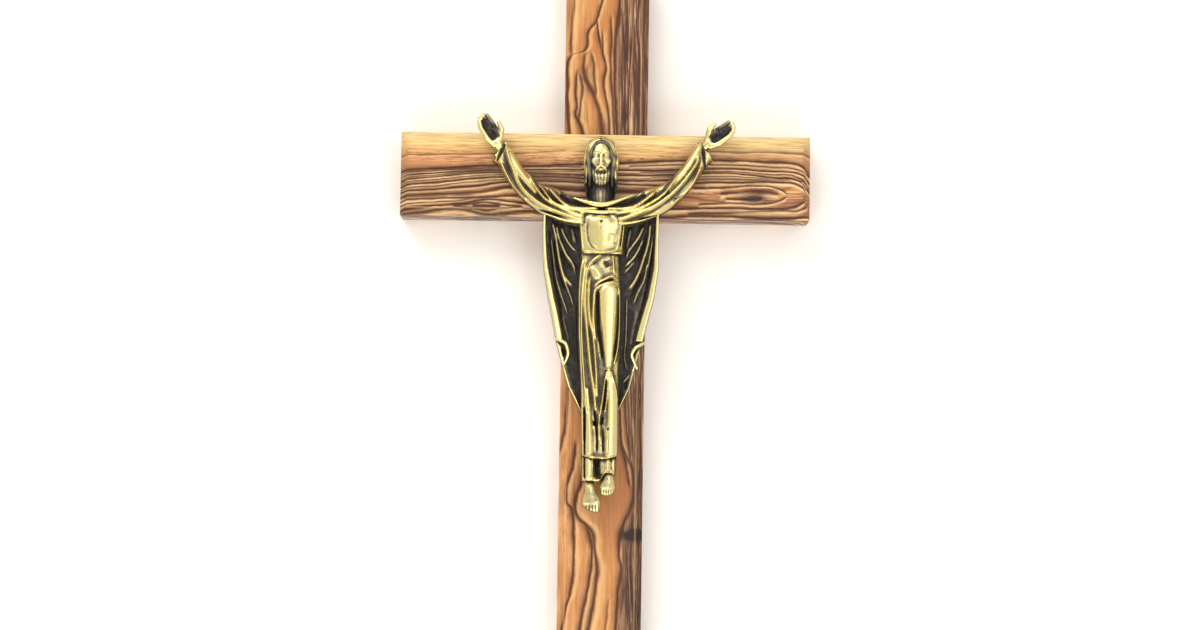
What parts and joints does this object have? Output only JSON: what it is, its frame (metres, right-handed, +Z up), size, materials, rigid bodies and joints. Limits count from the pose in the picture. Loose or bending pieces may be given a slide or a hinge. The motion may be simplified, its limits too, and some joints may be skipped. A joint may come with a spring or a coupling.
{
  "type": "resurrection cross",
  "caption": "Olive wood wall cross with chamfered, lapped bars and a cast brass robed figure with raised arms, fixed from behind and hung on a toothed hanger.",
  "frame": {"origin": "the point in the wall plane behind the middle notch of the toothed hanger, where the wall nail carries the cross", "axes": "+Z up along the upright, +Y out of the back towards the wall, +X to the right as seen from the front"},
  "size_m": [0.152, 0.0312, 0.254],
  "materials": {
    "upright_wood": "olive wood, sanded and oiled, satin",
    "crossbar_wood": "olive wood, sanded and oiled, satin",
    "cast_brass": "antique cast brass, dark in the folds and rubbed bright on the high places",
    "screw_steel": "bright zinc",
    "washer_steel": "bright zinc",
    "hanger_plate": "brass-plated sheet steel",
    "nail_steel": "brass-plated wire"
  },
  "bodies": {
    "root": {"upright": "upright_wood", "crossbar": "crossbar_wood", "risen_figure": "cast_brass", "figure_screws": "screw_steel", "figure_washers": "washer_steel", "sawtooth_hanger": "hanger_plate", "hanger_nails": "nail_steel"}
  },
  "joints": []
}
